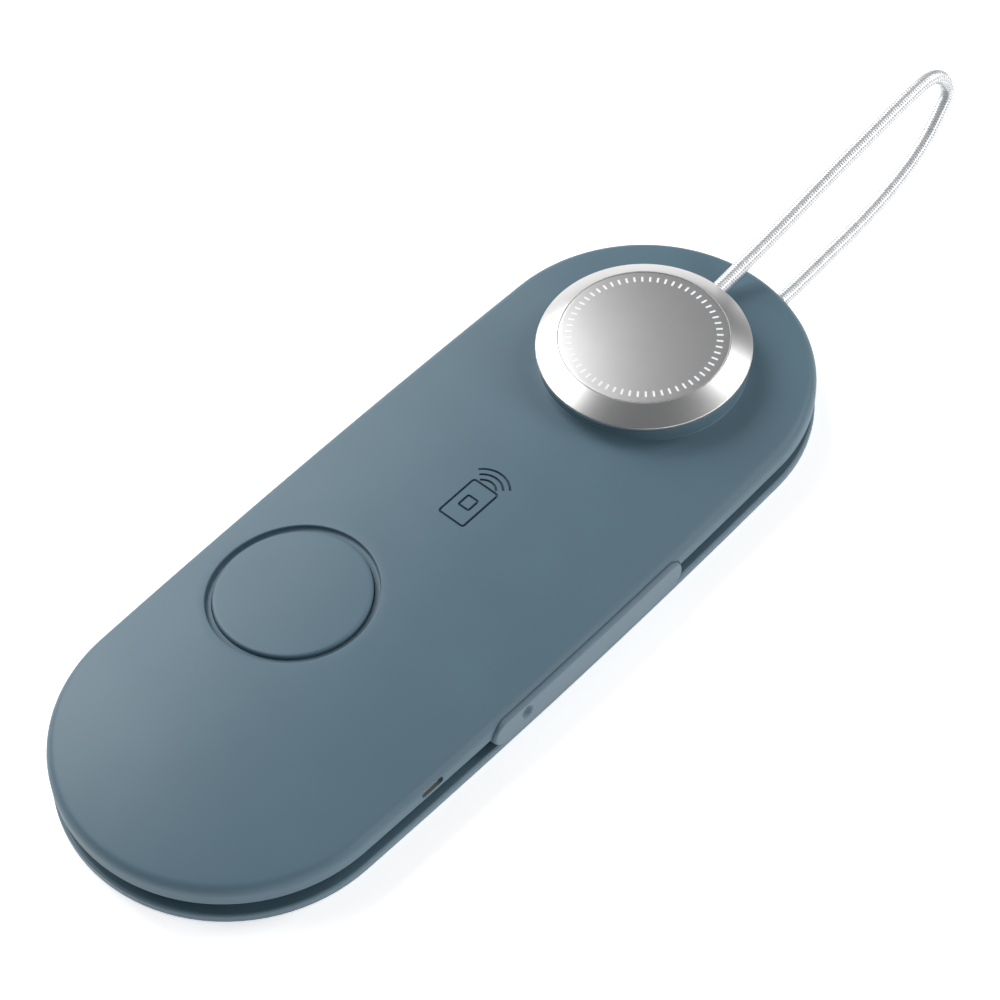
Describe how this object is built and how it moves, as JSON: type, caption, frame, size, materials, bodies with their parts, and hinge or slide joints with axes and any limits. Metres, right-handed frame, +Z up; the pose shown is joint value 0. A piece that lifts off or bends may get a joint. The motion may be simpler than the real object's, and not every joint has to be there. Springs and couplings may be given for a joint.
{
  "type": "luggage tracker tag",
  "caption": "Oval luggage tracker tag with a press button, metal screw cap, braided cable loop, soft port flap and a swivelling lower plate.",
  "frame": {"origin": "underside of the swivel plate, below the middle of the tag's oval outline", "axes": "+X along the tag to the metal cap and the cable loop, +Z up through the button, -Y to the charging port"},
  "size_m": [0.1464, 0.0425, 0.0148],
  "materials": {
    "shell_plastic": "soft-touch slate blue moulding",
    "plate_plastic": "slate blue moulding",
    "card": "white card",
    "slip_plastic": "slippery white plastic",
    "seal_rubber": "black rubber",
    "steel": "machined",
    "tin": "tinned sheet metal",
    "board": "solder mask over glass fibre",
    "chip": "moulded chip body",
    "connector": "natural nylon",
    "ceramic": "fired ceramic",
    "flap_silicone": "satin silicone",
    "cell_foil": "laminated foil pouch",
    "foam": "closed-cell foam",
    "lead": "insulated wire",
    "ferrite": "sintered ferrite sheet",
    "copper": "enamelled copper",
    "brass": "rolled brass",
    "bronze_mesh": "woven bronze",
    "cap_metal": "turned and polished",
    "cap_satin": "fine bead-blasted",
    "braid": "braided bright wire"
  },
  "bodies": {
    "housing": {"friction_washer": "slip_plastic", "base_shell": "shell_plastic", "shell_gasket": "seal_rubber", "top_shell": "shell_plastic", "shell_screws": "steel", "pivot_post": "steel", "post_retainer": "steel", "button_membrane": "shell_plastic", "switch_dome": "steel", "circuit_board": "board", "radio_shield": "tin", "antenna_chip": "ceramic", "motion_sensor": "chip", "battery_connector": "connector", "usb_socket": "tin", "usb_tongue": "chip", "flap_anchor": "flap_silicone", "battery": "cell_foil", "battery_pad": "foam", "battery_lead": "lead", "ferrite_sheet": "ferrite", "short_range_coil": "copper", "sounder_plate": "brass", "sounder_ceramic": "ceramic", "sounder_mesh": "bronze_mesh", "cap_washer": "seal_rubber", "cable_loop": "braid", "upper_ferrule": "steel", "lower_ferrule": "steel"},
    "plate": {"swivel_plate": "plate_plastic", "contact_card": "card"},
    "button": {"button_cap": "shell_plastic"},
    "flap": {"port_flap": "flap_silicone"},
    "cap_screw": {"cap_stud": "steel"},
    "cap": {"cap_bezel": "cap_metal", "cap_disc": "cap_satin"}
  },
  "joints": [
    {"name": "plate_swivel", "type": "hinge", "parent": "housing", "child": "plate", "pos_m": [0.03444, 0, 0], "axis": [0, 0, 1], "continuous": true},
    {"name": "button_press", "type": "slide", "parent": "housing", "child": "button", "axis": [0, 0, -1], "range_m": [0, 0.0004], "stiffness_N_per_m": 2500, "deforming": ["switch_dome"]},
    {"name": "flap_open", "type": "hinge", "parent": "housing", "child": "flap", "pos_m": [0.01205, -0.0215, 0], "axis": [0, 0, 1], "range_deg": [0, 100]},
    {"name": "cap_rise", "type": "slide", "parent": "housing", "child": "cap_screw", "axis": [0, 0, 1], "range_m": [0, 0.0032]},
    {"name": "cap_turn", "type": "hinge", "parent": "cap_screw", "child": "cap", "pos_m": [0.03444, 0, 0], "axis": [0, 0, 1], "range_deg": [0, 1441]}
  ],
  "couplings": [
    {"joint": "cap_turn", "follows": "cap_rise", "rad_per_m": 7854}
  ]
}
